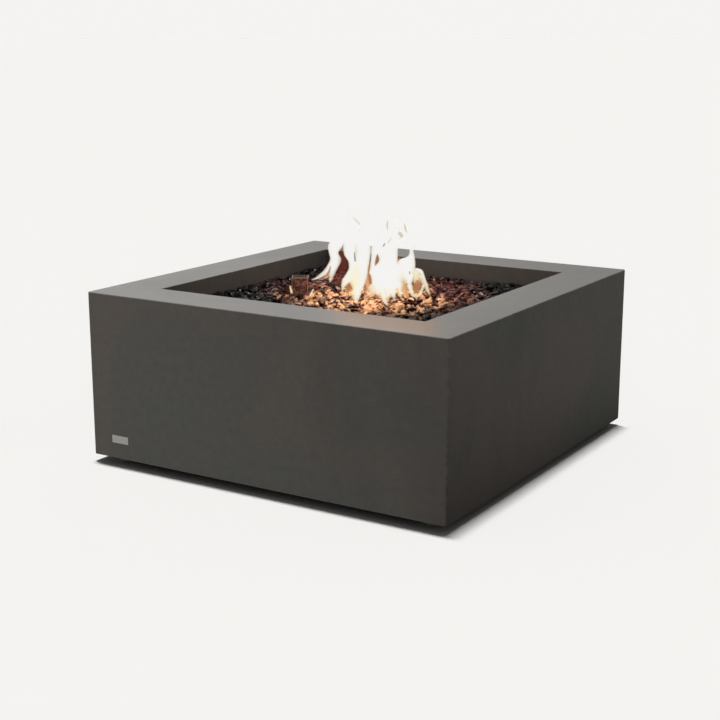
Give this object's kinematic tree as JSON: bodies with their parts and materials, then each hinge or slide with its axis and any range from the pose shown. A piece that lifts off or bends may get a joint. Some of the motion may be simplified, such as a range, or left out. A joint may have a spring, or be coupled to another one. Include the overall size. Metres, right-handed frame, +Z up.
{
  "type": "gas fire pit table",
  "caption": "Low square concrete-look gas fire table: wide rim round a recess of black fire glass with a hidden ring burner, levelling feet, and a control niche in the back.",
  "frame": {"origin": "on the floor under the table's centre", "axes": "+Z up, -Y towards the front with the small plate, +Y towards the back with the controls, +X right"},
  "size_m": [1, 1, 0.432],
  "materials": {
    "concrete": "matte",
    "brushed_plate": "satin",
    "zinc_steel": "satin",
    "fibre": "matte",
    "stainless": "satin",
    "black_pipe": "satin",
    "brass": "satin",
    "corrugated_steel": "satin",
    "cast_aluminium": "satin",
    "dial": "satin",
    "black_plastic": "satin",
    "cell_jacket": "gloss",
    "white_ceramic": "gloss",
    "red_lead": "satin",
    "copper": "satin",
    "fire_glass": "gloss",
    "spring_steel": "satin",
    "knob_black": "satin",
    "button_red": "gloss",
    "foot_rubber": "matte"
  },
  "bodies": {
    "table": {"table_shell": "concrete", "badge_plate": "brushed_plate", "foot_inserts": "zinc_steel", "tray_gasket": "fibre", "burner_tray": "stainless", "burner_ring": "stainless", "burner_saddles": "stainless", "saddle_screws": "zinc_steel", "hub_nipple": "black_pipe", "nipple_locknuts": "brass", "feed_elbow": "black_pipe", "air_mixer": "brass", "gas_jet": "brass", "gas_line": "corrugated_steel", "gas_line_nuts": "brass", "valve_outlet": "brass", "gas_inlet": "brass", "control_box": "stainless", "box_screws": "zinc_steel", "box_inserts": "brass", "valve_body": "cast_aluminium", "magnet_unit": "brass", "valve_nut": "zinc_steel", "dial_plate": "dial", "igniter_housing": "black_plastic", "igniter_cap": "black_plastic", "igniter_nut": "black_plastic", "igniter_cell": "cell_jacket", "pilot_bracket": "stainless", "spark_insulator": "white_ceramic", "spark_rod": "zinc_steel", "thermocouple": "stainless", "spark_lead": "red_lead", "thermocouple_lead": "copper", "lead_hangers": "zinc_steel", "pilot_guard": "stainless", "guard_screws": "zinc_steel", "guard_nuts": "zinc_steel", "glass_bed": "fire_glass", "glass_chips": "fire_glass", "igniter_spring": "spring_steel"},
    "valve_plug": {"valve_plug": "brass", "stem_spring": "spring_steel"},
    "control_knob": {"control_knob": "knob_black", "valve_stem": "zinc_steel"},
    "igniter_button": {"igniter_button": "button_red"},
    "front_left_foot_pad": {"front_left_foot_pad": "foot_rubber"},
    "front_left_foot_stud": {"front_left_foot_stud": "zinc_steel"},
    "front_right_foot_pad": {"front_right_foot_pad": "foot_rubber"},
    "front_right_foot_stud": {"front_right_foot_stud": "zinc_steel"},
    "back_left_foot_pad": {"back_left_foot_pad": "foot_rubber"},
    "back_left_foot_stud": {"back_left_foot_stud": "zinc_steel"},
    "back_right_foot_pad": {"back_right_foot_pad": "foot_rubber"},
    "back_right_foot_stud": {"back_right_foot_stud": "zinc_steel"}
  },
  "joints": [
    {"name": "knob_turn", "type": "hinge", "parent": "table", "child": "valve_plug", "pos_m": [-0.285, 0.456, 0.22], "axis": [0, 1, 0], "range_deg": [0, 180]},
    {"name": "knob_push", "type": "slide", "parent": "valve_plug", "child": "control_knob", "axis": [0, -1, 0], "range_m": [0, 0.004], "stiffness_N_per_m": 1000, "springref_m": -0.01, "deforming": ["stem_spring"]},
    {"name": "igniter_push", "type": "slide", "parent": "table", "child": "igniter_button", "axis": [0, -1, 0], "range_m": [0, 0.003], "stiffness_N_per_m": 600, "springref_m": -0.008, "deforming": ["igniter_spring"]},
    {"name": "front_left_foot_height", "type": "slide", "parent": "table", "child": "front_left_foot_pad", "axis": [0, 0, -1], "range_m": [0, 0.012]},
    {"name": "front_left_foot_screw", "type": "hinge", "parent": "front_left_foot_pad", "child": "front_left_foot_stud", "pos_m": [-0.442, -0.442, 0.015], "axis": [0, 0, -1], "range_deg": [0, 2881]},
    {"name": "front_right_foot_height", "type": "slide", "parent": "table", "child": "front_right_foot_pad", "axis": [0, 0, -1], "range_m": [0, 0.012]},
    {"name": "front_right_foot_screw", "type": "hinge", "parent": "front_right_foot_pad", "child": "front_right_foot_stud", "pos_m": [0.442, -0.442, 0.015], "axis": [0, 0, -1], "range_deg": [0, 2881]},
    {"name": "back_left_foot_height", "type": "slide", "parent": "table", "child": "back_left_foot_pad", "axis": [0, 0, -1], "range_m": [0, 0.012]},
    {"name": "back_left_foot_screw", "type": "hinge", "parent": "back_left_foot_pad", "child": "back_left_foot_stud", "pos_m": [-0.442, 0.442, 0.015], "axis": [0, 0, -1], "range_deg": [0, 2881]},
    {"name": "back_right_foot_height", "type": "slide", "parent": "table", "child": "back_right_foot_pad", "axis": [0, 0, -1], "range_m": [0, 0.012]},
    {"name": "back_right_foot_screw", "type": "hinge", "parent": "back_right_foot_pad", "child": "back_right_foot_stud", "pos_m": [0.442, 0.442, 0.015], "axis": [0, 0, -1], "range_deg": [0, 2881]}
  ],
  "couplings": [
    {"joint": "front_left_foot_screw", "follows": "front_left_foot_height", "rad_per_m": 4188.8},
    {"joint": "front_right_foot_screw", "follows": "front_right_foot_height", "rad_per_m": 4188.8},
    {"joint": "back_left_foot_screw", "follows": "back_left_foot_height", "rad_per_m": 4188.8},
    {"joint": "back_right_foot_screw", "follows": "back_right_foot_height", "rad_per_m": 4188.8}
  ]
}
